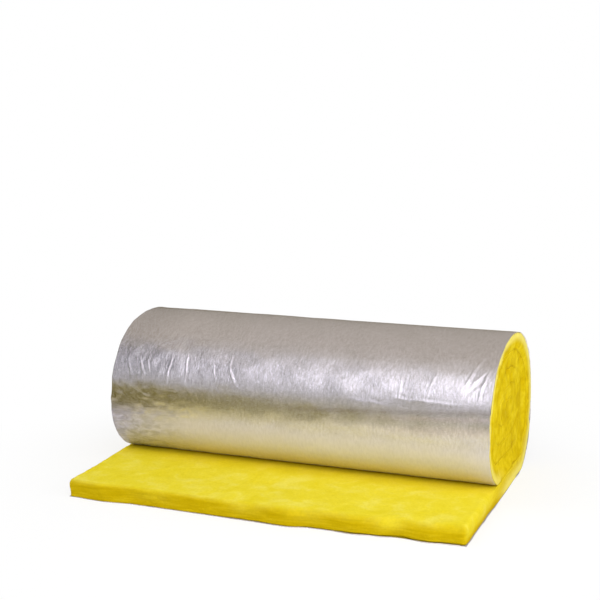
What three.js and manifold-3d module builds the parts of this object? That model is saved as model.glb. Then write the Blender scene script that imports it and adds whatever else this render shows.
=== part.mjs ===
// A roll of foil-faced glass-wool insulation blanket, lying on its side on a level floor.
// Its free end is laid out flat in front, wool side up. The foil is on the outside of the roll.
// Millimetres, +Z up. X runs along the roll, the free end points to -Y.
// The origin is in the middle of the footprint, on the floor.

import * as THREE from "three";
import { mergeVertices } from "three/addons/utils/BufferGeometryUtils.js";
import Module from "manifold-3d";

// The blanket
const roll_width = 1200;        // along X: the width that the blanket is sold in
const wool_thickness = 51;      // nominal 50, a little lofted
const foil_thickness = 0.2;
const bond_gap = 0.3;           // glue line between the foil and the wool it faces
const lay_gap = 0.3;            // between a turn's foil and the wool it lies on
const free_end_length = 267;    // of the flat end, in front of the roll's foremost line
const cut_edge_radius = 12;     // soft upper corner of the cut edge

// The roll's section, from the winding's centre to the outside of its first turn
const centre_height = 208;      // of the winding's centre above the floor
const crown_reach = 283;        // upwards
const side_reach = 304;         // backwards and forwards
const belly_sag = 30.6;         // how far the belly would hang below the floor if it were not flattened
const crown_fullness = 2.13;    // exponent of the upper half: 2 is an ellipse, more is squarer
const belly_fullness = 2.44;    // exponent of the lower half
const seat_radius = 4;          // rounds the corner where the belly meets the floor

// The winding, with angles in degrees from straight down, rising at the back
const climb_start = 30;         // in each turn, the angle where it starts to climb over the turn below
const climb_end = 310;          // and where it has climbed by a whole blanket
const nip_angle = 322;          // where the roll's front meets the flat end
const tuck_angle = 352;         // how far the foil is carried in under the roll
const eye_height = 20;          // what the innermost turn leaves above and below its own centre
const crease_width = 3;         // of the crease between turns, seen on the ends
const crease_depth = 12;
const facets_per_turn = 60;

const facing_depth = foil_thickness + bond_gap;
const wool_top = facing_depth + wool_thickness;
const turn_pitch = wool_top + lay_gap;
const half_height = (crown_reach + centre_height) / 2;

// How far the outside of the winding has moved inwards at an angle, counted on over the turns
function wound_inset(degrees) {
  const whole_turns = Math.floor(degrees / 360);
  const climb = (degrees - 360 * whole_turns - climb_start) / (climb_end - climb_start);
  return turn_pitch * (whole_turns + THREE.MathUtils.clamp(climb, 0, 1));
}

// The angle at which the winding has moved inwards by a distance
function winding_angle(inset) {
  const whole_turns = Math.floor(inset / turn_pitch);
  const climb = inset / turn_pitch - whole_turns;
  return 360 * whole_turns + climb_start + climb * (climb_end - climb_start);
}

// The smaller of two lengths, with the corner between them rounded off
function soft_min(first, second, rounding) {
  const overlap = Math.max(rounding - Math.abs(first - second), 0) / rounding;
  return Math.min(first, second) - overlap * overlap * rounding / 4;
}

// A point of the winding, at a depth below the outside of its foil.
// The centre rises from turn to turn, so that the last turn closes halfway up the roll.
function winding_point(degrees, depth) {
  const angle = THREE.MathUtils.degToRad(degrees);
  const across = Math.sin(angle);
  const down = Math.cos(angle);
  const in_belly = down >= 0;
  const inset = wound_inset(degrees) + depth;
  const rise = wound_inset(degrees) * (half_height - centre_height) / half_height;
  const centre = centre_height + rise;
  const share_left = 1 - wound_inset(degrees) / half_height;
  const reach = (in_belly ? centre + belly_sag * share_left : crown_reach - rise) - inset;
  const fullness = in_belly ? belly_fullness : crown_fullness;
  const side_share = (Math.abs(across) / (side_reach - inset)) ** fullness;
  const height_share = (Math.abs(down) / reach) ** fullness;
  let radius = (side_share + height_share) ** (-1 / fullness);
  if (in_belly) {
    const to_seat = (centre - inset) / Math.max(down, 1e-6);
    radius = soft_min(radius, to_seat, seat_radius * share_left);
  }
  return new THREE.Vector2(radius * across, centre - radius * down);
}

// Points along the winding, in even steps that end at the given angle
function winding_points(start, end, depth) {
  const count = Math.ceil((end - start) / 360 * facets_per_turn);
  const points = [];
  for (let step = 0; step <= count; step += 1) {
    points.push(winding_point(start + (end - start) * step / count, depth));
  }
  return points;
}

const front_edge = winding_point(270, 0).x - free_end_length;

// The sheet of foil: under the flat end, round the outside of the roll and in at the nip
function foil_outline() {
  const outside = winding_points(0, tuck_angle, 0);
  const inside = winding_points(0, tuck_angle, foil_thickness);
  const outline = [new THREE.Vector2(front_edge, 0), ...outside];
  outline.push(...inside.reverse(), new THREE.Vector2(front_edge, foil_thickness));
  return new THREE.Shape(outline);
}

// The mat: the flat end and the roll in one, with a slit where the foil goes in at the nip
function wool_outline() {
  const wound = winding_points(0, tuck_angle, facing_depth);
  const slit_top = wound.at(-1);
  const slit_end = winding_point(tuck_angle, 0).x + lay_gap;
  const outline = new THREE.Shape([new THREE.Vector2(front_edge, facing_depth), ...wound]);
  outline.lineTo(slit_end, slit_top.y);
  outline.lineTo(slit_end, wool_top);
  outline.lineTo(front_edge + cut_edge_radius, wool_top);
  const corner_height = wool_top - cut_edge_radius;
  outline.absarc(front_edge + cut_edge_radius, corner_height, cut_edge_radius, Math.PI / 2, Math.PI);
  return outline;
}

// The crease between the turns, from the nip to the middle
function crease_outline() {
  const end = winding_angle(Math.min(half_height, side_reach) - eye_height);
  const outer_side = winding_points(nip_angle, end, -crease_width / 2);
  const inner_side = winding_points(nip_angle, end, crease_width / 2);
  return new THREE.Shape([...outer_side, ...inner_side.reverse()]);
}

// An outline in the upright plane across the roll, drawn out along X from one place to another
function along_roll(outline, from, to) {
  const geometry = new THREE.ExtrudeGeometry(outline, { depth: to - from, bevelEnabled: false });
  geometry.translate(0, 0, from);
  const across = new THREE.Vector3(0, 1, 0);
  const up = new THREE.Vector3(0, 0, 1);
  const along = new THREE.Vector3(1, 0, 0);
  return geometry.applyMatrix4(new THREE.Matrix4().makeBasis(across, up, along));
}

const wasm = await Module();
wasm.setup();

function to_solid(geometry) {
  const bare = geometry.clone();
  bare.deleteAttribute("normal");
  bare.deleteAttribute("uv");
  const merged = mergeVertices(bare);
  const vertProperties = new Float32Array(merged.attributes.position.array);
  const triVerts = new Uint32Array(merged.index.array);
  return new wasm.Manifold(new wasm.Mesh({ numProp: 3, vertProperties, triVerts }));
}

function to_geometry(solid) {
  const mesh = solid.getMesh();
  const geometry = new THREE.BufferGeometry();
  geometry.setAttribute("position", new THREE.BufferAttribute(mesh.vertProperties, 3));
  geometry.setIndex(new THREE.BufferAttribute(mesh.triVerts, 1));
  geometry.computeVertexNormals();
  return geometry;
}

const half_width = roll_width / 2;

function wool_geometry() {
  const outline = crease_outline();
  let mat = to_solid(along_roll(wool_outline(), -half_width, half_width));
  mat = mat.subtract(to_solid(along_roll(outline, half_width - crease_depth, half_width + crease_depth)));
  mat = mat.subtract(to_solid(along_roll(outline, -half_width - crease_depth, crease_depth - half_width)));
  return to_geometry(mat);
}

const wool_material = new THREE.MeshStandardMaterial({ color: 0xe3cc3a, roughness: 1, metalness: 0 });
const foil_material = new THREE.MeshStandardMaterial({ color: 0xc8c5cc, roughness: 0.3, metalness: 1 });

const wool_blanket = new THREE.Mesh(wool_geometry(), wool_material);
wool_blanket.name = "wool_blanket";

const foil_geometry = along_roll(foil_outline(), -half_width, half_width);
const foil_facing = new THREE.Mesh(foil_geometry, foil_material);
foil_facing.name = "foil_facing";

const insulation_roll = new THREE.Group();
insulation_roll.add(wool_blanket, foil_facing);

// The origin is midway between the cut edge and the back of the roll
const footprint = new THREE.Box3().setFromObject(insulation_roll);
insulation_roll.position.y = -(footprint.min.y + footprint.max.y) / 2;

export default insulation_roll;
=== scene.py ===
"""A roll of foil-faced glass-wool insulation blanket, its free end laid out flat in front.

Lengths are in metres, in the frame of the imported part: +Z up, X along the roll, and the free end points to
-Y. The blanket is modelled as it is made: a flat mat with foil on one side. Its own flat space has x along
the roll's length, s along the blanket from its free end, and depth from the foil side into the wool. Relief
is made in that space, and the winding then bends it into the roll.
"""

import itertools
import math

import bpy
import numpy as np
from mathutils import Matrix, Vector


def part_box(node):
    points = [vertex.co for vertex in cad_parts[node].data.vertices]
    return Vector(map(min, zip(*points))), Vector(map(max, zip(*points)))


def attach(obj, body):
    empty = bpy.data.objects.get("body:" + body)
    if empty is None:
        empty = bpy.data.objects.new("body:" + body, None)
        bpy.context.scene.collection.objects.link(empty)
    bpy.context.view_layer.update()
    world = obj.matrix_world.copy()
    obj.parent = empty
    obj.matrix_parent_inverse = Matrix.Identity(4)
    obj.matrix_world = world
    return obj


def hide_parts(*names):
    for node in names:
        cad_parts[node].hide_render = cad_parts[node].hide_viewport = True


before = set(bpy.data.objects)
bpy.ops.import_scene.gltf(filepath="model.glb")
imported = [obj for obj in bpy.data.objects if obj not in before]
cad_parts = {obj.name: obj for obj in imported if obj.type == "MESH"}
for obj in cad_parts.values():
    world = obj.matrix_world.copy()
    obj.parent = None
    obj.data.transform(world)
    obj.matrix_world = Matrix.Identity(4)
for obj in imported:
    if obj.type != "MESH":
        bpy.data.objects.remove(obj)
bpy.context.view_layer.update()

# The blanket
WOOL_THICKNESS = 0.051
FOIL_THICKNESS = 0.0002
BOND_GAP = 0.0003
LAY_GAP = 0.0003
FACING_DEPTH = FOIL_THICKNESS + BOND_GAP
TURN_PITCH = FACING_DEPTH + WOOL_THICKNESS + LAY_GAP

# The roll's section, from the winding's centre to the outside of its first turn
CENTRE_HEIGHT = 0.208
CROWN_REACH = 0.283
SIDE_REACH = 0.304
BELLY_SAG = 0.0306
CROWN_FULLNESS = 2.13
BELLY_FULLNESS = 2.44
SEAT_RADIUS = 0.004
HALF_HEIGHT = (CROWN_REACH + CENTRE_HEIGHT) / 2
EYE_HEIGHT = 0.020
EYE_GAP = 0.0004

# The winding, with angles in degrees from straight down, rising at the back
PATH_STEP = 0.5
CLIMB_START = 30
CLIMB_END = 310
NIP_ANGLE = 322               # where the roll's front meets the mat
TUCK_ANGLE = 352              # where the foil's outer turn ends, between the roll and the mat

foil_low, foil_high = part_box("foil_facing")
HALF_WIDTH = foil_high.x
FRONT_EDGE = foil_low.y


# -------------------------------- the winding

def wound_inset(degrees):
    """How far the outside of the winding has moved inwards at an angle, counted on over the turns."""
    turns = np.floor(degrees / 360)
    climb = (degrees - 360 * turns - CLIMB_START) / (CLIMB_END - CLIMB_START)
    return TURN_PITCH * (turns + np.clip(climb, 0, 1))


def winding_point(degrees, depth):
    """(distance behind the winding's centre, height) of points at a depth below the outside of the foil."""
    degrees = np.asarray(degrees, float)
    across = np.sin(np.radians(degrees))
    down = np.cos(np.radians(degrees))
    belly = down >= 0
    inset = np.minimum(wound_inset(degrees) + depth, HALF_HEIGHT - EYE_GAP)
    rise = inset * (HALF_HEIGHT - CENTRE_HEIGHT) / HALF_HEIGHT
    centre = CENTRE_HEIGHT + rise
    share_left = 1 - inset / HALF_HEIGHT
    reach = np.where(belly, centre + BELLY_SAG * share_left, CROWN_REACH - rise) - inset
    fullness = np.where(belly, BELLY_FULLNESS, CROWN_FULLNESS)
    side_share = (np.abs(across) / (SIDE_REACH - inset)) ** fullness
    height_share = (np.abs(down) / reach) ** fullness
    radius = (side_share + height_share) ** (-1 / fullness)
    to_seat = (centre - inset) / np.maximum(down, 1e-6)
    rounding = SEAT_RADIUS * share_left
    overlap = np.maximum(rounding - np.abs(radius - to_seat), 0) / rounding
    seated = np.minimum(radius, to_seat) - overlap ** 2 * rounding / 4
    radius = np.where(belly, seated, radius)
    return radius * across, centre - radius * down


def eye_angle():
    """The angle at which the winding ends, in the middle of the roll."""
    turns = (HALF_HEIGHT - EYE_HEIGHT) / TURN_PITCH
    whole = math.floor(turns)
    return 360 * whole + CLIMB_START + (turns - whole) * (CLIMB_END - CLIMB_START)


path_angle = np.arange(0, eye_angle() + PATH_STEP / 2, PATH_STEP)
path_across, path_height = winding_point(path_angle, 0)
CENTRE_Y = foil_high.y - path_across.max()
FLAT_LENGTH = CENTRE_Y - FRONT_EDGE
path_steps = np.hypot(np.diff(path_across), np.diff(path_height))
path_s = FLAT_LENGTH + np.concatenate([[0], np.cumsum(path_steps)])
BLANKET_LENGTH = path_s[-1]


def angle_at(s):
    """The winding angle at s, which is 0 all along the flat end."""
    return np.interp(s, path_s, path_angle)


def s_at(degrees):
    return float(np.interp(degrees, path_angle, path_s))


def place(x, s, depth):
    """Points of the blanket's flat space, bent into the roll and its laid-out end."""
    s = np.asarray(s, float)
    across, height = winding_point(angle_at(s), depth)
    flat = s < FLAT_LENGTH
    y = np.where(flat, FRONT_EDGE + s, CENTRE_Y + across)
    z = np.where(flat, depth, height)
    return np.stack(np.broadcast_arrays(x, y, z), axis=-1)


def outward(s):
    """The direction out of the foil side at s, as (y, z)."""
    step = 0.001
    before = place(0, s - step, 0)
    after = place(0, s + step, 0)
    along = after - before
    along /= np.linalg.norm(along, axis=-1, keepdims=True)
    return along[..., 2], -along[..., 1]


# -------------------------------- noise

# Large odd numbers, and shifts, that scatter a place and a seed over the bits of a 32-bit number
PLACE_SCATTER = (374761393, 668265263, 2246822519)
SEED_SCATTER = 3266489917
BIT_SCATTER = ((13, 1274126177), (15, 2654435761))


def lattice(ix, iy, iz, seed):
    """A fixed pseudo-random number from -1 to 1 for each whole-number point."""
    mixed = np.uint32(seed * SEED_SCATTER % 2 ** 32)
    for along_axis, factor in zip((ix, iy, iz), PLACE_SCATTER):
        mixed = mixed + along_axis.astype(np.uint32) * np.uint32(factor)
    for shift, factor in BIT_SCATTER:
        mixed = (mixed ^ (mixed >> np.uint32(shift))) * np.uint32(factor)
    return (mixed >> np.uint32(16)).astype(float) / (0xFFFF / 2) - 1


def noise(x, y, z=0.0, seed=0):
    """Smooth noise, about -1 to 1, with one swing per unit of its coordinates."""
    x, y, z = np.broadcast_arrays(np.asarray(x, float), np.asarray(y, float), np.asarray(z, float))
    base = [np.floor(c).astype(np.int64) for c in (x, y, z)]
    share = [c - b for c, b in zip((x, y, z), base)]
    ease = [t * t * t * (t * (t * 6 - 15) + 10) for t in share]
    total = np.zeros(x.shape)
    for corner in itertools.product((0, 1), repeat=3):
        weight = math.prod(t if far else 1 - t for far, t in zip(corner, ease))
        total += weight * lattice(*(b + far for b, far in zip(base, corner)), seed)
    return total


def smooth_step(value, low, high):
    """0 up to low, 1 from high on, and a smooth rise between them."""
    t = np.clip((value - low) / (high - low), 0, 1)
    return t * t * (3 - 2 * t)


def smooth_drop(value, low, high):
    """1 up to low, 0 from high on, and a smooth fall between them."""
    return 1 - smooth_step(value, low, high)


# -------------------------------- meshes

def new_mesh(name, points, faces, smooth=True):
    mesh = bpy.data.meshes.new(name)
    mesh.from_pydata(np.asarray(points).tolist(), [], faces)
    mesh.validate()
    mesh.update()
    mesh.polygons.foreach_set("use_smooth", [smooth] * len(mesh.polygons))
    piece = bpy.data.objects.new(name, mesh)
    bpy.context.scene.collection.objects.link(piece)
    return piece


def set_attribute(piece, name, values):
    attribute = piece.data.attributes.new(name, "FLOAT", "POINT")
    attribute.data.foreach_set("value", np.asarray(values, np.float32))


def set_flat_place(piece, places):
    """Keeps each point's place in the blanket's flat space, for the material."""
    attribute = piece.data.attributes.new("flat_place", "FLOAT_VECTOR", "POINT")
    attribute.data.foreach_set("vector", np.asarray(places, np.float32).ravel())


def spaced(stops):
    """Rows from stop to stop: stops are (place, spacing up to the next stop)."""
    rows = []
    for (start, spacing), (end, _) in zip(stops, stops[1:]):
        count = max(1, round((end - start) / spacing))
        rows.extend(start + (end - start) * i / count for i in range(count))
    rows.append(stops[-1][0])
    return np.array(rows)


def grid_faces(rows, turned=False):
    """Four-sided faces over rows of point numbers, turned over where the grid faces the other way."""
    faces = []
    for near, far in zip(rows, rows[1:]):
        for a, b, c, d in zip(near, far, far[1:], near[1:]):
            faces.append((a, d, c, b) if turned else (a, b, c, d))
    return faces


def bridge(near, far, picks):
    """Faces between two rows of points, where one may have only the picks of the other's points."""
    if len(near) == len(far):
        return grid_faces([near, far], turned=True)
    fine, coarse = (near, far) if len(near) > len(far) else (far, near)
    faces = []
    for index in range(len(coarse) - 1):
        span = fine[picks[index]:picks[index + 1] + 1]
        face = (*span, coarse[index + 1], coarse[index])
        faces.append(face if fine is near else tuple(reversed(face)))
    return faces


# -------------------------------- the cut front edge

FRONT_WAVE_FADE = 0.30        # how far back from the cut edge its wave dies out

# How far the cut edge stands forward of its straight line, at places along the roll
FRONT_WAVE = [
    (-0.60, 0.000), (-0.49, 0.008), (-0.39, -0.001), (-0.28, 0.001), (-0.17, 0.004),
    (-0.05, 0.008), (0.09, 0.014), (0.17, 0.000), (0.22, 0.000), (0.28, 0.005),
    (0.35, -0.002), (0.42, -0.014), (0.495, -0.005), (0.54, -0.011), (0.60, -0.014),
]


def eased_between(x, points):
    """A smooth curve through a few (x, value) points."""
    places, values = np.array(points).T
    index = np.clip(np.searchsorted(places, x) - 1, 0, len(points) - 2)
    t = smooth_step(x, places[index], places[index + 1])
    return values[index] * (1 - t) + values[index + 1] * t


def front_forward(x, s):
    """How far points move towards the front: the wave at the cut edge, dying out along the flat end."""
    return eased_between(x, FRONT_WAVE) * smooth_drop(s, 0.0, FRONT_WAVE_FADE)


# -------------------------------- the foil

FOIL_BACKING = 0.0016         # how far under the foil its plain inner side lies
FOIL_EDGE = 0.0007            # its thickness along the cut edges
FOIL_TRIM = 0.0025            # of its right edge, so that the wool stands past it
FOIL_SPARE = 0.0015           # how far its left edge stands past the wool
FOIL_TUCK = 0.012             # how far its side edges draw in under the roll
INNER_STRIDE = 4              # grid steps of the inner side for each of its own

# The foil's grid: rows of the flat end as (s, spacing), rows of the roll as (winding angle, spacing),
# and columns as (x, spacing), each spacing up to the next place. The columns fill whole inner strides.
FLAT_ROWS = [(0.0, 0.006), (0.03, 0.03)]
ROLL_ROWS = [(14, 0.014), (150, 0.0085), (216, 0.0044), (300, 0.012)]
LAST_SPACING = 0.004
FOIL_COLUMNS = [(-HALF_WIDTH, 0.00238), (-0.2, 0.00362), (0.35, 0.0026), (HALF_WIDTH, 1)]

# Spans of winding angle, from the floor at the back, over the crown and down the front
OFF_FLOOR = (14, 34)
TRIM_STARTS = (150, 190)
WAVES_START = (195, 225)
LOW_CREASES_START = (249, 260)
SMOOTH_FROM = (268, 286)
LOW_CREASES_END = (288, 300)
INTO_NIP = (308, 324)
TUCKS_IN = (310, NIP_ANGLE)

# Creases pressed into the foil: from (x, winding angle) to (x, winding angle), height and half-width
CREASES = [
    ((-0.214, 227), (-0.211, 239), 0.00056, 0.0024),
    ((-0.214, 238), (-0.180, 251), 0.00105, 0.0032),
    ((-0.358, 229), (-0.352, 252), 0.00063, 0.0024),
    ((-0.412, 232), (-0.412, 253), 0.00070, 0.0026),
    ((-0.516, 238), (-0.490, 248), 0.00098, 0.0030),
    ((-0.554, 239), (-0.540, 247), 0.00084, 0.0028),
    ((-0.500, 231), (-0.510, 237), 0.00070, 0.0028),
    ((-0.516, 245), (-0.508, 252), 0.00056, 0.0024),
    ((-0.488, 238), (-0.470, 249), 0.00063, 0.0024),
    ((-0.266, 235), (-0.252, 247), 0.00063, 0.0024),
    ((-0.260, 250), (-0.228, 256), 0.00056, 0.0026),
    ((-0.350, 264), (-0.324, 274), -0.00098, 0.0028),
    ((-0.328, 287), (-0.312, 297), 0.00126, 0.0028),
    ((-0.576, 286), (-0.530, 282), -0.00154, 0.0034),
    ((-0.564, 289), (-0.458, 287), 0.00126, 0.0032),
    ((-0.052, 230), (-0.026, 239), 0.00056, 0.0024),
    ((0.000, 227), (0.012, 238), 0.00049, 0.0024),
    ((0.578, 204), (0.510, 238), 0.00105, 0.0034),
    ((0.572, 224), (0.532, 237), 0.00091, 0.0030),
    ((0.580, 228), (0.530, 242), -0.00084, 0.0030),
    ((0.584, 219), (0.556, 250), 0.00070, 0.0030),
    ((0.430, 228), (0.410, 241), 0.00063, 0.0026),
    ((0.327, 232), (0.326, 258), 0.00063, 0.0024),
    ((0.300, 248), (0.520, 249), 0.00070, 0.0030),
    ((0.180, 251), (0.300, 253), 0.00056, 0.0028),
]


def crease_relief(x, s, start, end, height, half_width):
    """One crease: a crest that wanders about its line, with a shallow valley along one side of it."""
    start_x, start_s = start[0], s_at(start[1])
    end_x, end_s = end[0], s_at(end[1])
    length = math.hypot(end_x - start_x, end_s - start_s)
    share_x, share_s = (end_x - start_x) / length, (end_s - start_s) / length
    along = (x - start_x) * share_x + (s - start_s) * share_s
    off = (x - start_x) * share_s - (s - start_s) * share_x
    off = off + 0.004 * noise(along / 0.03, start_x * 50, 0.5, seed=5)
    swell = smooth_step(along, -0.01, 0.03) * smooth_drop(along, length - 0.04, length + 0.015)
    crest = np.exp(-(off / half_width) ** 2)
    valley = 0.45 * np.exp(-((off - 2.2 * half_width) / (1.6 * half_width)) ** 2)
    return height * swell * (crest - valley)


def crinkles(x, s, width, length, seed):
    """Narrow creases that run round the roll, each with its own strength."""
    wander = 0.6 * width * noise(x / (3 * width), s / (0.5 * length), 0.2, seed=seed + 50)
    field = noise((x + wander) / width, s / length, seed=seed)
    crest = np.exp(-(field / 0.30) ** 2)
    own = smooth_step(noise(x / (1.6 * width), s / (0.7 * length), 0.5, seed=seed + 51), 0.0, 0.75)
    return crest * own


def foil_relief(x, s):
    """How far the foil stands out of its smooth form."""
    degrees = angle_at(s)
    at_left = smooth_step(-x, 0.18, 0.50)
    crumpled = at_left + 0.8 * smooth_step(x, 0.38, 0.58)
    smoothed = 1 - (0.65 - 0.55 * at_left) * smooth_step(degrees, *SMOOTH_FROM)
    # broad swells all over, and shorter waves down the front
    relief = 0.0012 * noise(x / 0.19, s / 0.12, seed=1)
    relief += 0.0006 * noise(x / 0.07, s / 0.08, seed=2)
    waves = smooth_step(degrees, *WAVES_START) * (0.3 + 0.7 * smoothed) * (1 + 0.4 * at_left)
    relief += 0.0007 * waves * noise(x / 0.055, s / 0.036, seed=3)
    # long and short crinkles round the roll, and fine grain
    relief += smoothed * (0.00014 + 0.00012 * at_left + 0.00004 * crumpled) * crinkles(x, s, 0.021, 0.075, 4)
    relief += smoothed * (0.00002 + 0.00006 * at_left) * crinkles(x, s, 0.010, 0.040, 14)
    relief += smoothed * 0.00005 * noise(x / 0.014, s / 0.022, seed=7)
    # crumpled ends, with slanting creases
    relief += crumpled * smoothed * 0.0006 * noise(x / 0.034, s / 0.055, seed=8)
    relief += crumpled * smoothed * 0.0004 * crinkles(x + 0.6 * s, s, 0.022, 0.050, 24)
    # creases along the roll, low on its left front
    creased_low = at_left * smooth_step(degrees, *LOW_CREASES_START) * smooth_drop(degrees, *LOW_CREASES_END)
    relief += 0.0008 * creased_low * noise(x / 0.022, s / 0.012, seed=9)
    relief += 0.0004 * creased_low * crinkles(x - 0.5 * s, s, 0.016, 0.030, 34)
    for crease in CREASES:
        relief += crease_relief(x, s, *crease)
    # plain where it lies on the floor or goes in under the roll
    free = smooth_step(degrees, *OFF_FLOOR) * smooth_drop(degrees, *INTO_NIP)
    return relief * free


def foil_grid():
    """The x and s of the foil's outer points, with whole inner strides both ways."""
    roll_rows = [(s_at(degrees), spacing) for degrees, spacing in ROLL_ROWS]
    rows = spaced([*FLAT_ROWS, *roll_rows, (s_at(TUCK_ANGLE), 1)])
    while (len(rows) - 1) % INNER_STRIDE:
        rows = np.append(rows, rows[-1] + LAST_SPACING)
    return np.meshgrid(spaced(FOIL_COLUMNS), rows)


def ragged_ends(x, s):
    """x with the side edges made uneven, drawn in under the roll, and cut back at the right."""
    side = np.sign(x)
    uneven = np.where(x < 0, 0.0020, 0.0010)
    ragged = uneven * (noise(s / 0.05, side * 7, seed=21) + 0.6 * noise(s / 0.018, side * 7, seed=22))
    tucked = FOIL_TUCK * smooth_step(angle_at(s), *TUCKS_IN)
    trim = FOIL_TRIM * smooth_step(angle_at(s), *TRIM_STARTS)
    ends = ragged - tucked + np.where(x > 0, -trim, FOIL_SPARE)
    return x + side * ends * smooth_drop(HALF_WIDTH - np.abs(x), 0, 0.03)


def edge_faces(fine, coarse, turned=False):
    """Faces between two edges of the foil, its outer one and the inner one with a point for each stride."""
    faces = []
    for step in range(len(coarse) - 1):
        span = fine[step * INNER_STRIDE:(step + 1) * INNER_STRIDE + 1]
        ends = coarse[step:step + 2]
        faces.append((*ends, *span[::-1]) if turned else (*ends[::-1], *span))
    return faces


def build_foil():
    """The foil as one closed sheet: a fine outer side with its relief, and a plain, coarser inner side."""
    x, s = foil_grid()
    x_out = ragged_ends(x, s)
    out_y, out_z = outward(s)
    relief = foil_relief(x, s)
    sunk = np.minimum(relief, 0) - FOIL_BACKING
    at_edge = smooth_drop(HALF_WIDTH - np.abs(x), 0.002, 0.018)
    sunk = sunk + at_edge * (relief - FOIL_EDGE - sunk)

    def stood_out(height):
        """The sheet's points, so far out of its smooth form."""
        points = place(x_out, s, 0)
        points[..., 1] += out_y * height - front_forward(x, s)
        points[..., 2] += out_z * height
        return points

    def strided(grid):
        return grid[::INNER_STRIDE, ::INNER_STRIDE]

    outer, inner = stood_out(relief), strided(stood_out(sunk))
    points = np.concatenate([outer.reshape(-1, 3), inner.reshape(-1, 3)])
    numbers = np.arange(len(points))
    outer_numbers = numbers[:x.size].reshape(outer.shape[:2])
    inner_numbers = numbers[x.size:].reshape(inner.shape[:2])
    faces = grid_faces(outer_numbers.tolist()) + grid_faces(inner_numbers.tolist(), turned=True)
    for end, turned in ((0, False), (-1, True)):
        faces += edge_faces(outer_numbers[end].tolist(), inner_numbers[end].tolist(), turned)
        faces += edge_faces(outer_numbers[:, end].tolist(), inner_numbers[:, end].tolist(), not turned)

    foil = new_mesh("foil_sheet", points, faces)
    flat = np.stack([x, s, np.zeros_like(x)], axis=-1)
    set_flat_place(foil, np.concatenate([flat.reshape(-1, 3), strided(flat).reshape(-1, 3)]))
    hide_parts("foil_facing")
    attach(foil, "root")
    return foil


# -------------------------------- the wool

LEFT_EDGE_RADIUS = 0.012      # of the mat's laid-out end
RIGHT_EDGE_RADIUS = 0.025
WOUND_EDGE_RADIUS = 0.0024
WOUND_EDGE_DEPTH = 0.0010     # how deep the crease between two turns is rounded in
ACROSS_SHARE = 0.42           # of the edge radius, sideways: the side edges are crisper than the front one
UNDER_SHARE = 0.25            # of an edge's radius, below it
NIP_S = s_at(0) - 0.19        # on the mat's top, where the roll's front meets it
UNDER_ROLL_S = NIP_S + 0.05   # from here on the top is out of sight
TOP_STEP = 0.0042
EVEN_STEPS = (0.0110, 0.0105)     # from the left and right side edges: between them all steps are even
EDGE_STEPS = (0, 0.0012, 0.0035, 0.007)     # the closer columns along a side edge, by their distance to it
EDGE_PICKS = (3, 6)           # the columns near a side edge that the hidden sides keep
HIDDEN_COLUMNS = 10
DEPTH_CELLS = 16
# The mat's rows as (s, spacing up to the next)
WOOL_ROWS = [
    (0.0, 0.003), (0.015, TOP_STEP), (UNDER_ROLL_S, 0.006), (BLANKET_LENGTH - 0.012, 0.003),
    (BLANKET_LENGTH, 1),
]
TURN_SHADE = 0.0075           # how far from a turn's surface its end is darker
FOIL_CLEARANCE = 0.0035       # how far the wool keeps under the foil's dents on the roll
CLEARANCE_EDGE = (0.0068, 0.001)     # from the right side edge: there it rises to the foil again

# Spans of winding angle over which the wool changes
UNDER_FOIL_FROM = (4, 24)
UNDER_FOIL_TO = (TUCK_ANGLE, TUCK_ANGLE + 15)
RIM_FADES = (305, 345)
SHADES_START = (330, 345)
OUTSIDE_UP_TO = 362           # the mat's outer half has nothing wound over it up to here

# Soft hollows in the right end, as (y, z, radius, depth)
HOLLOWS = [
    (0.120, 0.357, 0.022, 0.007), (0.165, 0.325, 0.018, 0.005), (0.100, 0.283, 0.016, 0.004),
    (0.131, 0.241, 0.020, 0.006), (0.028, 0.071, 0.020, 0.006), (0.190, 0.420, 0.016, 0.006),
    (0.245, 0.394, 0.016, 0.006), (0.275, 0.355, 0.014, 0.005), (0.210, 0.120, 0.024, 0.004),
]

# Where the soft top spills over the cut front face, as (x, half-width, share of the face's height)
SPILLS = [(-0.330, 0.050, 0.35), (-0.030, 0.045, 0.45), (0.150, 0.040, 0.30), (0.385, 0.034, 0.75)]


def spilled(x):
    """How much of the cut front face the soft top covers at x, 0 to 1."""
    share = np.zeros_like(x)
    for middle, half_width, most in SPILLS:
        share = np.maximum(share, most * np.exp(-((x - middle) / half_width) ** 2))
    return share


def edge_radius(x, s):
    """How round the mat's edges are: softest at the laid-out end's right half, tight on the turns."""
    laid = LEFT_EDGE_RADIUS + (RIGHT_EDGE_RADIUS - LEFT_EDGE_RADIUS) * smooth_step(x, -0.35, 0.45)
    laid = laid * (1 + 0.25 * noise(x / 0.07, 0.3, seed=30) + 0.20 * spilled(x))
    return laid + (WOUND_EDGE_RADIUS - laid) * smooth_step(s, NIP_S - 0.06, NIP_S + 0.01)


def rounded(x, s, depth):
    """Points moved onto the rounded edges of the mat's box, and the direction out of it there."""
    radius = edge_radius(x, s)
    across = np.maximum(radius * ACROSS_SHARE, WOUND_EDGE_DEPTH)
    under = radius * UNDER_SHARE
    core = np.stack([
        np.clip(x, across - HALF_WIDTH, HALF_WIDTH - across),
        np.clip(s, np.minimum(radius, 0.5 * BLANKET_LENGTH), BLANKET_LENGTH - WOUND_EDGE_RADIUS),
        np.clip(depth, under, WOOL_THICKNESS - radius),
    ], axis=-1)
    here = np.stack([x, s, depth], axis=-1)
    away = here - core
    radii = np.stack([across, radius, np.where(away[..., 2] < 0, under, radius)], axis=-1)
    away = away / radii
    distance = np.linalg.norm(away, axis=-1, keepdims=True)
    direction = away / np.maximum(distance, 1e-9)
    moved = core + direction * radii
    return np.where(distance > 1e-6, moved, here), np.where(distance > 1e-6, direction, 0)


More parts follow.
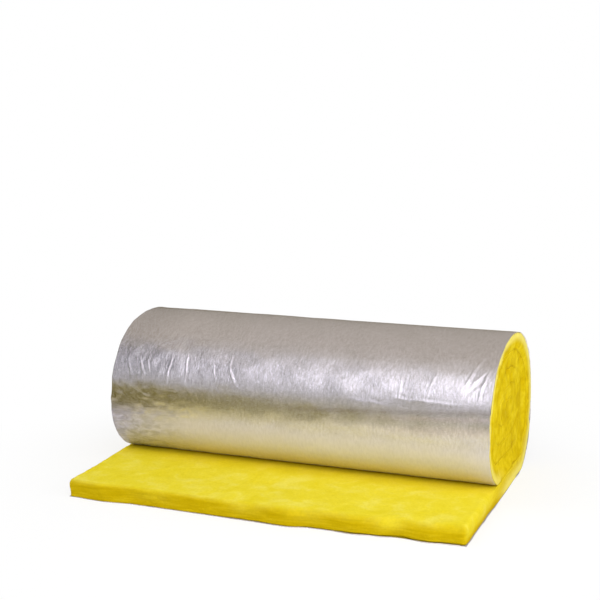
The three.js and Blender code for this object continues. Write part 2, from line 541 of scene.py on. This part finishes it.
def hollow_depth(x, s, depth):
    """How deep the soft hollows are at points of the ends."""
    points = place(x, s, FACING_DEPTH + depth)
    y, z = points[..., 1], points[..., 2]
    deep = np.zeros_like(y)
    for hollow_y, hollow_z, radius, most in HOLLOWS:
        off = np.hypot(y - hollow_y, z - hollow_z) + 0.006 * noise(y / 0.02, z / 0.02, seed=39)
        deep = np.maximum(deep, most * np.exp(-(off / radius) ** 2) * (x > 0))
    field = noise(y / 0.045, z / 0.045, np.sign(x) * 3.5, seed=36)
    return np.maximum(deep, 0.004 * smooth_step(field, 0.15, 0.75))


def in_roll(s):
    """0 on the flat end, rising to 1 over the roll's first stretch."""
    return smooth_step(s, FLAT_LENGTH, FLAT_LENGTH + 0.3)


def wool_relief(x, s, depth, direction):
    """How far the wool stands out of its smooth box, along the given directions."""
    end = np.abs(direction[..., 0])
    front = np.clip(-direction[..., 1], 0, 1)
    top = np.clip(direction[..., 2], 0, 1)
    open_top = smooth_drop(s, NIP_S - 0.04, NIP_S + 0.02)
    points = place(x, s, FACING_DEPTH + depth)
    y, z = points[..., 1], points[..., 2]
    lumps = 0.0014 * noise(x / 0.080, y / 0.080, z / 0.05, seed=31)
    lumps += 0.0006 * noise(x / 0.026, y / 0.026, z / 0.02, seed=32)
    tufts = 0.0005 * noise(x / 0.010, y / 0.010, z / 0.010, seed=33)
    layers_front = 0.0009 * noise(x / 0.050, s / 0.03, depth / 0.0140, seed=34)
    layers_front += 0.0012 * noise(x / 0.032, s / 0.03, depth / 0.026, seed=37)
    layers_front = layers_front * (1 - 0.45 * smooth_step(x, 0.0, 0.4))
    layers_end = (0.0008 - 0.0005 * in_roll(s)) * noise(s / 0.055, x / 0.03, depth / 0.0100, seed=35)
    relief = top * open_top * (lumps + tufts)
    relief += front * (layers_front + 0.8 * lumps + tufts)
    relief += end * (layers_end + tufts + lumps)
    return relief


def end_sunk(x, s, depth):
    """How far the wound end lies inside the mat's width: dished towards the middle, with soft hollows."""
    at_end = smooth_drop(HALF_WIDTH - np.abs(x), 0.0, 0.04)
    drift = 0.0010 * noise(s / 0.25, np.sign(x) * 5, seed=38)
    dish = np.where(x > 0, 0.001, 0.003) + 0.011 * smooth_step(wound_inset(angle_at(s)) + depth, 0.045, 0.105)
    return in_roll(s) * at_end * (drift + dish + hollow_depth(x, s, depth))


def wool_place(x, s, depth):
    """The mat's own points, rounded, roughened and bent into the roll."""
    smooth_points, direction = rounded(x, s, depth)
    relief = wool_relief(x, s, depth, direction)
    moved = smooth_points + direction * relief[..., None]
    moved[..., 0] -= np.sign(x) * end_sunk(x, s, depth)
    before_edge = smooth_drop(x, *(HALF_WIDTH - inset for inset in CLEARANCE_EDGE))
    forward = front_forward(x, s)
    x, s, depth = moved[..., 0], moved[..., 1], moved[..., 2]
    under_foil = smooth_step(angle_at(s), *UNDER_FOIL_FROM) * smooth_drop(angle_at(s), *UNDER_FOIL_TO)
    under_foil = under_foil * before_edge
    depth = depth + under_foil * FOIL_CLEARANCE * smooth_drop(depth, 0.0, 0.03)
    points = place(x, np.maximum(s, 0), FACING_DEPTH + np.clip(depth, 0, None))
    points[..., 1] += np.minimum(s, 0) - forward
    return points


def wool_columns():
    """The x of the mat's columns, and the picks among them that its hidden sides keep."""
    even = np.arange(EVEN_STEPS[0], 2 * HALF_WIDTH - EVEN_STEPS[1], TOP_STEP)
    right_steps = 2 * HALF_WIDTH - np.array(EDGE_STEPS[::-1])
    columns = np.concatenate([EDGE_STEPS, even, right_steps]) - HALF_WIDTH
    last = len(columns) - 1
    picks = np.round(np.linspace(0, last, HIDDEN_COLUMNS + 1)).astype(int)
    near_right = [last - pick for pick in EDGE_PICKS]
    return columns, np.unique([*picks, *EDGE_PICKS, *near_right])


def wool_shell():
    """The (x, s, depth) of the mat's points, and its faces: a closed band with a cut face at each end.

    Each row along the blanket is a ring of points around it. The top under the roll, the underside and the
    inner end are out of sight, so they keep only some of the columns.
    """
    rows = spaced(WOOL_ROWS)
    last_open_row = int(np.argmin(np.abs(rows - UNDER_ROLL_S)))
    columns, hidden_picks = wool_columns()
    all_picks = range(len(columns))
    last = len(columns) - 1
    depths = WOOL_THICKNESS * np.linspace(0, 1, DEPTH_CELLS + 1)
    places = []

    def add(x, s, depth):
        places.append((x, s, depth))
        return len(places) - 1

    def add_row(picks, s, depth, left, right):
        """A row across the mat, from a side's point to the other side's."""
        return [left if c == 0 else right if c == last else add(columns[c], s, depth) for c in picks]

    right_side, left_side, top_side, under_side = [], [], [], []
    for row, s in enumerate(rows):
        right = [add(HALF_WIDTH, s, depth) for depth in depths]
        left = [add(-HALF_WIDTH, s, depth) for depth in depths]
        top_picks = all_picks if row <= last_open_row else hidden_picks
        under_picks = all_picks if row == 0 else hidden_picks
        top_side.append(add_row(top_picks, s, WOOL_THICKNESS, left[-1], right[-1]))
        under_side.append(add_row(under_picks, s, 0.0, left[0], right[0]))
        right_side.append(right)
        left_side.append(left)

    def end_face(row, picks):
        """The rows across an end of the blanket, from its underside to its top."""
        across = [add_row(picks, rows[row], depths[cell], left_side[row][cell], right_side[row][cell])
                  for cell in range(1, DEPTH_CELLS)]
        return [under_side[row], *across, top_side[row]]

    faces = grid_faces(right_side) + grid_faces(left_side, turned=True)
    for near, far in zip(top_side, top_side[1:]):
        faces += bridge(near, far, hidden_picks)
    for near, far in zip(under_side, under_side[1:]):
        faces += [tuple(reversed(face)) for face in bridge(near, far, hidden_picks)]
    faces += grid_faces(end_face(0, all_picks), turned=True)
    faces += grid_faces([row[::-1] for row in end_face(-1, hidden_picks)], turned=True)
    return *np.array(places).T, faces


def mark_wool(wool, x, s, depth):
    """Sets what the wool's material reads: how far a point is cut and painted darker, wound in, shaded,
    painted pale, or in painted shade near the nip.
    """
    angle = angle_at(s)
    inset = wound_inset(angle) + depth
    direction = rounded(x, s, depth)[1]
    end = np.abs(direction[:, 0])
    laid = smooth_drop(s, NIP_S - 0.05, FLAT_LENGTH)
    round_front = smooth_step(s, NIP_S, FLAT_LENGTH)
    points = place(x, s, depth)

    # painted shade: cut faces are darker gold by the way they face, partly their own colour and partly the
    # shade among their fibres
    side_cut_and_shade = end * (1 - 0.7 * laid * smooth_step(depth, 0.004, 0.020))
    front_cut_and_shade = -direction[:, 1] * (1 - 0.7 * spilled(x) * smooth_step(depth, 0.010, 0.034))
    set_attribute(wool, "cut_face", np.clip(np.maximum(side_cut_and_shade, front_cut_and_shade), 0, 1))
    set_attribute(wool, "wound_in", round_front)

    # darker along the turns of the ends, in patches, in their hollows, and low on the laid-out sides
    to_turn = np.minimum(depth, WOOL_THICKNESS - depth)
    patchy = smooth_step(noise(points[:, 1] / 0.07, points[:, 2] / 0.07, np.sign(x) * 2, seed=41), -0.4, 0.5)
    turn_shade = np.exp(-(to_turn / TURN_SHADE) ** 2) * (0.30 + 0.70 * patchy)
    outside = (depth < 0.5 * WOOL_THICKNESS) & (angle < OUTSIDE_UP_TO)
    turn_shade = np.where(outside, 0, turn_shade)
    in_eye = smooth_step(inset, 0.11, 0.17)
    hollow = np.clip(hollow_depth(x, s, depth) / 0.006, 0, 1)
    wound_end = smooth_step(angle, *SHADES_START) * end
    shaded = wound_end * np.clip(0.55 * (1 - 0.4 * in_eye) * turn_shade + 0.8 * hollow, 0, 1)
    low_side = laid * end * smooth_drop(depth, 0.006, 0.028)
    set_attribute(wool, "shaded", np.maximum(shaded, 0.75 * low_side))

    # painted light: paler round the rim of the ends, where the outer turn's rounded end catches the light
    first_turn = smooth_drop(inset, 0.025, 0.060)
    outer_turn = round_front * smooth_drop(angle, *RIM_FADES)
    rim = outer_turn * smooth_drop(depth + 0.004 * points[:, 2] / 0.4, 0.010, 0.036)
    set_attribute(wool, "rim", np.clip(end * (0.35 * first_turn * outer_turn + 0.9 * rim), 0, 1))
    # painted shade: how near a point is to the nip, where the top takes a deeper yellow in the roll's shade
    set_attribute(wool, "near_nip", smooth_step(s, NIP_S - 0.11, NIP_S - 0.01))


def build_wool():
    """The whole mat, flat end and roll in one."""
    x, s, depth, faces = wool_shell()
    wool = new_mesh("wool_mat", wool_place(x, s, depth), faces)
    mark_wool(wool, x, s, depth)
    set_flat_place(wool, np.stack([x, s, depth], axis=-1))
    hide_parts("wool_blanket")
    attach(wool, "root")
    return wool


# -------------------------------- nodes

class Graph:
    """The nodes of one material or world, with a short call for each kind that is used here."""

    def __init__(self, owner):
        owner.use_nodes = True
        self.nodes = owner.node_tree.nodes
        self.links = owner.node_tree.links

    def feed(self, socket, value):
        """Links a node's output to a socket, or sets the socket's own number, colour or vector."""
        if isinstance(value, (int, float)):
            socket.default_value = value
        elif isinstance(value, tuple):
            socket.default_value = (*value, 1)[:len(socket.default_value)]
        else:
            self.links.new(value, socket)

    def add(self, kind, output, inputs, **settings):
        """Adds a node with these inputs and settings, and gives one of its outputs."""
        node = self.nodes.new(kind)
        for name, value in settings.items():
            setattr(node, name, value)
        for socket, value in inputs.items():
            self.feed(node.inputs[socket], value)
        return node.outputs[output]

    def coordinates(self, kind):
        return self.add("ShaderNodeTexCoord", kind, {})

    def attribute(self, name, output="Fac"):
        return self.add("ShaderNodeAttribute", output, {}, attribute_name=name)

    def split(self, vector):
        node = self.nodes.new("ShaderNodeSeparateXYZ")
        self.feed(node.inputs["Vector"], vector)
        return tuple(node.outputs)

    def length(self, vector):
        return self.add("ShaderNodeVectorMath", "Value", {0: vector}, operation="LENGTH")

    def stretched(self, vector, scale):
        return self.add("ShaderNodeMapping", "Vector", {"Vector": vector, "Scale": scale})

    def noise(self, vector, scale=1.0, detail=4.0, roughness=0.55, distortion=0.0):
        return self.add("ShaderNodeTexNoise", "Fac", {
            "Vector": vector, "Scale": scale, "Detail": detail,
            "Roughness": roughness, "Distortion": distortion})

    def ramp(self, value, stops):
        """A colour for each value, from (value, colour) stops."""
        node = self.nodes.new("ShaderNodeValToRGB")
        self.feed(node.inputs["Fac"], value)
        elements = node.color_ramp.elements
        while len(elements) < len(stops):
            elements.new(0.5)
        for element, (position, colour) in zip(elements, stops):
            element.position = position
            element.color = (*colour, 1)
        return node.outputs["Color"]

    def ease(self, value, low, high, at_low=0.0, at_high=1.0):
        """A smooth change from one number to another while a value goes from low to high."""
        return self.add("ShaderNodeMapRange", "Result", {
            "Value": value, "From Min": low, "From Max": high, "To Min": at_low, "To Max": at_high,
        }, interpolation_type="SMOOTHSTEP")

    def math(self, operation, first, second=0.0):
        return self.add("ShaderNodeMath", "Value", {0: first, 1: second}, operation=operation)

    def times(self, first, *others):
        for other in others:
            first = self.math("MULTIPLY", first, other)
        return first

    def mix(self, share, first, second, blend="MIX"):
        colours = {0: share, 6: first, 7: second}
        return self.add("ShaderNodeMix", 2, colours, data_type="RGBA", blend_type=blend)

    def tinted(self, colour, tint, share=1.0):
        """A colour multiplied by a tint, wholly where share is 1."""
        return self.mix(share, colour, tint, blend="MULTIPLY")

    def bump(self, height, distance, strength, under=None):
        """The normal of a height laid over the surface, or over another bump's normal."""
        inputs = {"Height": height, "Distance": distance, "Strength": strength}
        if under is not None:
            inputs["Normal"] = under
        return self.add("ShaderNodeBump", "Normal", inputs)

    def glow(self, kind, colour, strength=1.0):
        """An Emission or Background shader."""
        return self.add("ShaderNode" + kind, kind, {"Color": colour, "Strength": strength})

    def mix_shaders(self, share, first, second):
        return self.add("ShaderNodeMixShader", "Shader", {"Fac": share, 1: first, 2: second})


# -------------------------------- the foil's material

# Spans of winding angle over which the foil's look changes on its way down the front
GRAIN_COMES = (200, 226)
BAND_TINT_COMES = (252, 259)
# painted reflection: where the olive tint of the dark band that the foil mirrors comes in
GRAIN_GOES = (264, 284)
LOW_COMES = (264, 282)        # the matt, beige lower front
SCUFFS_COME = (264, 288)
OXIDE_COMES = (267, 286)
DENTS_GO = (268, 290)
LOWEST_COMES = (271, 286)
NIP_SHADE_COMES = (290, 304)

# At the left end the foil is duller, and its colour darker with painted shade.
DULL_AND_SHADED_LEFT = (-0.60, -0.26)    # the x between which the left end's dull look goes over
STREAKS_GO = (-0.1, 0.35)     # the x between which streaks and dents weaken

# Faint stripes round the front, which slant across the sheet: each as the winding angles where it starts,
# peaks and ends, the x between which it comes in, and its tint
STRIPE_SLANT = 0.066
STRIPES = [
    ((258.3, 261.5, 264.2), (-0.12, 0.10), (0.87, 0.85, 0.84)),
    ((262.8, 265.0, 268.5), (0.18, 0.40), (1.07, 1.035, 1.05)),
    ((268.0, 272.6, 279.0), (0.18, 0.45), (0.955, 0.925, 0.920)),
]


class FoilGraph(Graph):
    """The foil's nodes, with changes by the place on the sheet."""

    def __init__(self, owner):
        super().__init__(owner)
        self.sheet = self.attribute("flat_place", "Vector")
        self.x, self.s, _ = self.split(self.sheet)

    def by_angle(self, span, before=0.0, after=1.0):
        """A smooth change over a span of winding angle."""
        return self.ease(self.s, *(s_at(degrees) for degrees in span), before, after)

    def by_x(self, span, before=0.0, after=1.0):
        """A smooth change over a span of x."""
        return self.ease(self.x, *span, before, after)

    def plain_noise(self, scale, distortion=0.5):
        """Noise without finer detail, stretched over the sheet."""
        return self.noise(self.stretched(self.sheet, scale), detail=1, distortion=distortion)


def foil_colour(foil, low):
    """Bright and grained, beige and plainer low on the front, with painted reflection tints there, and
    painted shade at the nip and the left end.
    """
    tone = foil.noise(foil.sheet, 9, detail=3)
    colour = foil.ramp(tone, [(0.3, (0.86, 0.85, 0.86)), (0.7, (0.91, 0.90, 0.92))])
    grain = foil.noise(foil.stretched(foil.sheet, (170, 56, 1)), detail=2, distortion=0.5)
    grain = foil.ramp(grain, [(0.31, (0.82, 0.81, 0.79)), (0.62, (0.98, 0.98, 0.98))])
    grained = foil.times(foil.by_angle(GRAIN_GOES, 1.0, 0.40), foil.by_angle(GRAIN_COMES, 0.75, 1.0))
    colour = foil.tinted(colour, grain, grained)
    # painted shade: darker towards the crumpled left end
    colour = foil.tinted(colour, foil.by_x((-0.60, -0.40), 0.88, 1.0))
    # painted shade and a painted reflection of the mat: warmer and darker where the foil goes into the nip
    colour = foil.tinted(colour, (0.98, 0.93, 0.80), foil.by_angle(NIP_SHADE_COMES))
    # painted reflection: the low front is tinted, and beige at the lowest, for the colour of the mat and
    # floor it mirrors
    low_tint = foil.mix(foil.by_x((-0.45, 0.30)), (0.925, 0.900, 1.08), (0.945, 0.925, 1.03))
    colour = foil.tinted(colour, low_tint, low)
    colour = foil.tinted(colour, (0.89, 0.87, 0.71), foil.by_angle(LOWEST_COMES))
    # painted reflection: an olive tint on the dark band that the left of the foil mirrors, above its low
    # front
    painted_band_tint = foil.times(foil.by_x((-0.50, -0.10), 1.0, 0.0), foil.by_angle(BAND_TINT_COMES))
    painted_band_tint = foil.times(painted_band_tint, foil.math("SUBTRACT", 1.0, low))
    colour = foil.tinted(colour, (1.06, 1.03, 0.84), painted_band_tint)
    slanted = foil.math("ADD", foil.s, foil.times(foil.x, STRIPE_SLANT))
    for (start, peak, end), span, tint in STRIPES:
        rise = foil.ease(slanted, s_at(start), s_at(peak))
        fall = foil.ease(slanted, s_at(peak), s_at(end), 1.0, 0.0)
        colour = foil.tinted(colour, tint, foil.times(rise, fall, foil.by_x(span)))
    # painted shade: low at the left the colour goes over to darker mottles, mottled like crumpled foil
    shaded_mottles = foil.noise(foil.stretched(foil.sheet, (38, 75, 1)), detail=3, distortion=0.6)
    shaded_mottles = foil.ramp(shaded_mottles, [(0.36, (0.39, 0.37, 0.41)), (0.62, (0.58, 0.56, 0.69))])
    return foil.mix(foil.times(low, foil.by_x(DULL_AND_SHADED_LEFT, 1.0, 0.0)), colour, shaded_mottles)


def foil_roughness(foil):
    """Glossy and matt spots, finer than a picture shows: their shares set the sheen."""
    spots = foil.noise(foil.stretched(foil.sheet, (1.0, 0.5, 1.0)), 900, detail=2, roughness=0.7)
    scuffed = foil.times(foil.by_angle(SCUFFS_COME, 0.0, 0.33), foil.by_x((-0.55, -0.20), 0.35, 1.0))
    spots = foil.math("ADD", spots, scuffed)
    spots = foil.math("ADD", spots, foil.by_x((-0.50, -0.05), -0.105, -0.05))
    return foil.ease(spots, 0.43, 0.62, 0.17, 0.78)


def foil_normal(foil):
    """Streaks round the roll, fine crumple and small dents, all weaker at the right."""
    streaks = foil.times(foil.plain_noise((130, 28, 1)), foil.by_x(STREAKS_GO, 1.0, 0.7))
    crumple = foil.times(foil.plain_noise((620, 460, 1)), foil.by_x((-0.45, 0.25), 0.9, 0.6))
    dents = foil.times(foil.plain_noise((90, 66, 1), 0.4), foil.by_angle(DENTS_GO, 1.0, 0.45))
    dents = foil.times(dents, foil.by_x(STREAKS_GO, 1.0, 0.6))
    normal = foil.bump(streaks, 0.0016, 0.15)
    normal = foil.bump(crumple, 0.0007, 0.85, under=normal)
    return foil.bump(dents, 0.0008, 0.40, under=normal)


def foil_material():
    material = bpy.data.materials.new("aluminium_foil")
    foil = FoilGraph(material)
    shader = foil.nodes["Principled BSDF"]
    low = foil.by_angle(LOW_COMES)
    oxide = foil.times(foil.by_angle(OXIDE_COMES), foil.by_x(DULL_AND_SHADED_LEFT, 0.80, 0.72))
    foil.feed(shader.inputs["Base Color"], foil_colour(foil, low))
    foil.feed(shader.inputs["Metallic"], foil.math("SUBTRACT", 1.0, oxide))
    foil.feed(shader.inputs["Roughness"], foil_roughness(foil))
    foil.feed(shader.inputs["Normal"], foil_normal(foil))
    return material


# -------------------------------- the wool's material

def wool_colour(wool, position):
    """A pale skin on top, darker cut faces, layered and wound, partly painted shade; a paler rim of painted
    light; shaded turns; painted shade near the nip.
    """
    patches = wool.noise(position, 15, detail=3, distortion=0.4)
    skin = wool.ramp(patches, [
        (0.32, (0.760, 0.628, 0.022)), (0.50, (0.79, 0.665, 0.040)), (0.68, (0.815, 0.708, 0.092))])
    # painted shade: a deeper yellow on the top near the nip, in the roll's shade
    skin = wool.mix(wool.times(wool.attribute("near_nip"), patches), skin, (0.80, 0.62, 0.004))
    # cut faces, front and wound ends: darker gold, partly their own colour and partly painted shade
    layered = wool.noise(wool.stretched(wool.attribute("flat_place", "Vector"), (13, 13, 150)), detail=3)
    cut = wool.ramp(layered, [
        (0.32, (0.49, 0.345, 0.001)), (0.50, (0.55, 0.392, 0.002)), (0.68, (0.61, 0.450, 0.008))])
    mottles = wool.noise(position, 44, detail=3, roughness=0.6, distortion=0.2)
    mottles = wool.times(wool.math("ADD", mottles, patches), 0.5)
    wound = wool.ramp(mottles, [
        (0.38, (0.56, 0.385, 0.001)), (0.50, (0.66, 0.490, 0.004)), (0.62, (0.73, 0.570, 0.018))])
    cut = wool.mix(wool.attribute("wound_in"), cut, wound)
    colour = wool.mix(wool.attribute("cut_face"), skin, cut)
    # painted light: a paler rim on the ends
    colour = wool.mix(wool.attribute("rim"), colour, (0.79, 0.685, 0.150))
    colour = wool.mix(wool.attribute("shaded"), colour, (0.52, 0.350, 0.002))
    specks = wool.noise(position, 170, roughness=0.6)
    specks = wool.ramp(specks, [(0.30, (0.90, 0.89, 0.80)), (0.70, (1.0, 1.0, 1.0))])
    return wool.tinted(colour, specks)


def wool_normal(wool, position):
    """Small clumps, with strands along the roll and across it laid over them."""
    normal = wool.bump(wool.noise(position, 130), 0.0035, 0.30)
    for scale in ((90, 700, 700), (700, 90, 700)):
        strands = wool.noise(wool.stretched(position, scale), distortion=0.3)
        normal = wool.bump(strands, 0.0012, 0.35, under=normal)
    return normal


def wool_material():
    material = bpy.data.materials.new("glass_wool")
    wool = Graph(material)
    shader = wool.nodes["Principled BSDF"]
    position = wool.coordinates("Object")
    wool.feed(shader.inputs["Base Color"], wool_colour(wool, position))
    shader.inputs["Roughness"].default_value = 1.0
    shader.inputs["Specular IOR Level"].default_value = 0.04
    wool.feed(shader.inputs["Normal"], wool_normal(wool, position))
    return material


# -------------------------------- the studio

CAMERA_PLACE = (1.4156, -3.6373, 1.3246)
CAMERA_TURN = -21.579         # degrees from +Y towards +X
CAMERA_TILT = 11.154          # degrees down
CAMERA_ROLL = -0.556
CAMERA_REACH = 2.2087         # focal length over the picture's width
SENSOR = 36.0                 # millimetres

FLOOR_SIZE = 30.0             # from its middle to each side
FLOOR_DROP = 0.0006
POOL_STRENGTH = 1.45
POOL_SCALE = 0.5              # of a ramp for each metre of floor in front of the roll

# What the foil mirrors of the floor at the left and right, by the distance out front times POOL_SCALE
LEFT_POOL = [
    (0.26, (0.70, 0.638, 0.55)), (0.30, (0.57, 0.515, 0.38)), (0.35, (0.42, 0.372, 0.21)),
    (0.43, (0.28, 0.232, 0.09)), (0.53, (0.20, 0.157, 0.00)), (0.66, (0.16, 0.124, 0)),
    (1, (0.15, 0.115, 0)),
]
RIGHT_POOL = [
    (0.26, (0.78, 0.72, 0.62)), (0.30, (0.72, 0.662, 0.56)), (0.43, (0.60, 0.55, 0.45)),
    (0.66, (0.56, 0.515, 0.44)), (0.85, (0.56, 0.515, 0.45)), (1, (0.58, 0.535, 0.47)),
]

# What it mirrors above the floor, by the height of the direction: 0 is level and 1 straight up.
# From left to right these are the dim room, the front softbox and the softbox's right part, and then comes
# what is behind the roll.
ROOM = [
    (0, (0.25, 0.195, 0)), (0.12, (0.24, 0.19, 0)), (0.17, (0.47, 0.445, 0.42)),
    (0.28, (0.56, 0.55, 0.575)), (0.38, (0.40, 0.39, 0.415)), (0.50, (0.20, 0.20, 0.22)),
    (0.72, (0.11, 0.106, 0.12)), (0.88, (0.26, 0.245, 0.24)), (1, (0.54, 0.49, 0.455)),
]
FRONT_LAMP = [
    (0, (0.045, 0.034, 0)), (0.06, (0.060, 0.050, 0.025)), (0.18, (0.16, 0.152, 0.150)),
    (0.31, (0.21, 0.20, 0.21)), (0.48, (0.23, 0.22, 0.24)), (0.62, (0.19, 0.18, 0.205)),
    (0.71, (0.26, 0.248, 0.28)), (0.80, (0.55, 0.525, 0.59)), (0.88, (0.39, 0.367, 0.40)),
    (0.94, (0.28, 0.26, 0.26)), (1, (0.26, 0.241, 0.216)),
]
RIGHT_LAMP = [
    (0, (0.29, 0.266, 0.243)), (0.13, (0.20, 0.186, 0.172)), (0.24, (0.12, 0.112, 0.106)),
    (0.38, (0.09, 0.086, 0.09)), (0.45, (0.15, 0.143, 0.16)), (0.52, (0.65, 0.625, 0.69)),
    (0.84, (0.65, 0.625, 0.68)), (0.90, (0.46, 0.435, 0.46)), (0.95, (0.28, 0.26, 0.26)),
    (1, (0.26, 0.241, 0.222)),
]
BEHIND = [(0, (0.34, 0.30, 0.26)), (0.30, (0.43, 0.385, 0.34)), (1, (0.52, 0.462, 0.415))]
LAMP_STRENGTH = 3.3

SOFT_LIGHT = (1.0, 0.98, 0.96)     # of the room, on everything that isn't a mirror
SOFT_STRENGTH = 0.45

# Softboxes, as (name, place, aim, side, watts)
SOFTBOXES = [
    ("key_softbox", (1.2, -2.8, 2.8), (0, 0, 0.2), 2.4, 80),
    ("fill_softbox", (-1.8, -1.4, 3.2), (0, 0, 0.2), 2.4, 36),
    ("side_softbox", (3.4, -0.8, 1.5), (0.4, 0, 0.2), 2.0, 56),
]


def add_camera():
    turn, tilt, roll = (math.radians(v) for v in (CAMERA_TURN, CAMERA_TILT, CAMERA_ROLL))
    forward = Vector((math.sin(turn) * math.cos(tilt), math.cos(turn) * math.cos(tilt), -math.sin(tilt)))
    level = Vector((math.cos(turn), -math.sin(turn), 0))
    upright = level.cross(forward)
    right = level * math.cos(roll) + upright * math.sin(roll)
    up = upright * math.cos(roll) - level * math.sin(roll)
    data = bpy.data.cameras.new("camera")
    data.sensor_fit = "HORIZONTAL"
    data.sensor_width = SENSOR
    data.lens = SENSOR * CAMERA_REACH
    camera = bpy.data.objects.new("camera", data)
    bpy.context.scene.collection.objects.link(camera)
    basis = Matrix((right, up, -forward)).transposed().to_4x4()
    camera.matrix_world = Matrix.Translation(CAMERA_PLACE) @ basis
    bpy.context.scene.camera = camera


def add_softbox(name, place_at, aim, side, watts):
    """A square soft lamp that neither the camera nor the foil's mirror-like side sees."""
    data = bpy.data.lights.new(name, "AREA")
    data.shape = "RECTANGLE"
    data.size = side
    data.size_y = side
    data.energy = watts
    lamp = bpy.data.objects.new(name, data)
    bpy.context.scene.collection.objects.link(lamp)
    lamp.location = place_at
    lamp.rotation_euler = (Vector(aim) - Vector(place_at)).to_track_quat("-Z", "Y").to_euler()
    lamp.visible_camera = False
    lamp.visible_glossy = False


def floor_mirrored(floor, position):
    """The pool of light on the floor that the foil mirrors."""
    floor_x, floor_y, _ = floor.split(position)
    out_front = floor.times(floor.math("ABSOLUTE", floor_y), POOL_SCALE)
    left_pool = floor.ramp(out_front, LEFT_POOL)
    right_pool = floor.ramp(out_front, RIGHT_POOL)
    pool = floor.mix(floor.ease(floor_x, -0.35, 0.15), left_pool, right_pool)
    pool = floor.tinted(pool, (POOL_STRENGTH,) * 3)
    return floor.tinted(pool, floor.ease(floor_x, -0.95, -0.45, 0.45, 1.0))


def add_floor():
    """A pale floor, whose shadow the camera sees fade into white. To the foil it is a pool of light."""
    left, right, low = -FLOOR_SIZE, FLOOR_SIZE, -FLOOR_DROP
    corners = [(left, left, low), (right, left, low), (right, right, low), (left, right, low)]
    piece = new_mesh("floor", corners, [(0, 1, 2, 3)], smooth=False)
    material = bpy.data.materials.new("floor")
    floor = Graph(material)
    shader = floor.nodes["Principled BSDF"]
    shader.inputs["Base Color"].default_value = (0.90, 0.90, 0.90, 1)
    shader.inputs["Roughness"].default_value = 1.0
    shader.inputs["Specular IOR Level"].default_value = 0.0
    lit = shader.outputs["BSDF"]
    position = floor.coordinates("Object")
    rays = floor.nodes.new("ShaderNodeLightPath")
    whiteness = floor.ease(floor.length(position), 0.45, 1.2, 0.70, 1.0)
    seen = floor.mix_shaders(whiteness, lit, floor.glow("Emission", (1.0, 1.0, 1.0)))
    surface = floor.mix_shaders(rays.outputs["Is Camera Ray"], lit, seen)
    mirrored = floor.glow("Emission", floor_mirrored(floor, position))
    surface = floor.mix_shaders(rays.outputs["Is Glossy Ray"], surface, mirrored)
    floor.feed(floor.nodes["Material Output"].inputs["Surface"], surface)
    piece.data.materials.append(material)


def studio_mirrored(world):
    """The studio that the foil mirrors, in place of the plain white that the camera sees."""
    across, behind, height = world.split(world.coordinates("Generated"))
    lamp = world.ramp(height, FRONT_LAMP)
    lamp = world.mix(world.ease(across, -0.31, -0.25), lamp, world.ramp(height, RIGHT_LAMP))
    lamp = world.tinted(lamp, (LAMP_STRENGTH,) * 3)
    lamp = world.tinted(lamp, world.ease(across, -0.12, 0.30, 1.0, 0.42))
    front = world.mix(world.ease(across, -0.39, -0.25), world.ramp(height, ROOM), lamp)
    return world.mix(world.ease(behind, 0.05, -0.15), world.ramp(height, BEHIND), front)


def add_world():
    """White to the camera, an even soft light to the wool, and the studio to the foil."""
    studio = bpy.data.worlds.new("studio")
    bpy.context.scene.world = studio
    world = Graph(studio)
    rays = world.nodes.new("ShaderNodeLightPath")
    soft = world.glow("Background", SOFT_LIGHT, SOFT_STRENGTH)
    mirrored = world.glow("Background", studio_mirrored(world))
    surface = world.mix_shaders(rays.outputs["Is Glossy Ray"], soft, mirrored)
    white = world.glow("Background", (1.0, 1.0, 1.0))
    surface = world.mix_shaders(rays.outputs["Is Camera Ray"], surface, white)
    world.feed(world.nodes["World Output"].inputs["Surface"], surface)


add_camera()
add_world()
add_floor()
for softbox in SOFTBOXES:
    add_softbox(*softbox)
bpy.context.scene.view_settings.view_transform = "Standard"

foil_sheet = build_foil()
foil_sheet.data.materials.append(foil_material())
wool_mat = build_wool()
wool_mat.data.materials.append(wool_material())
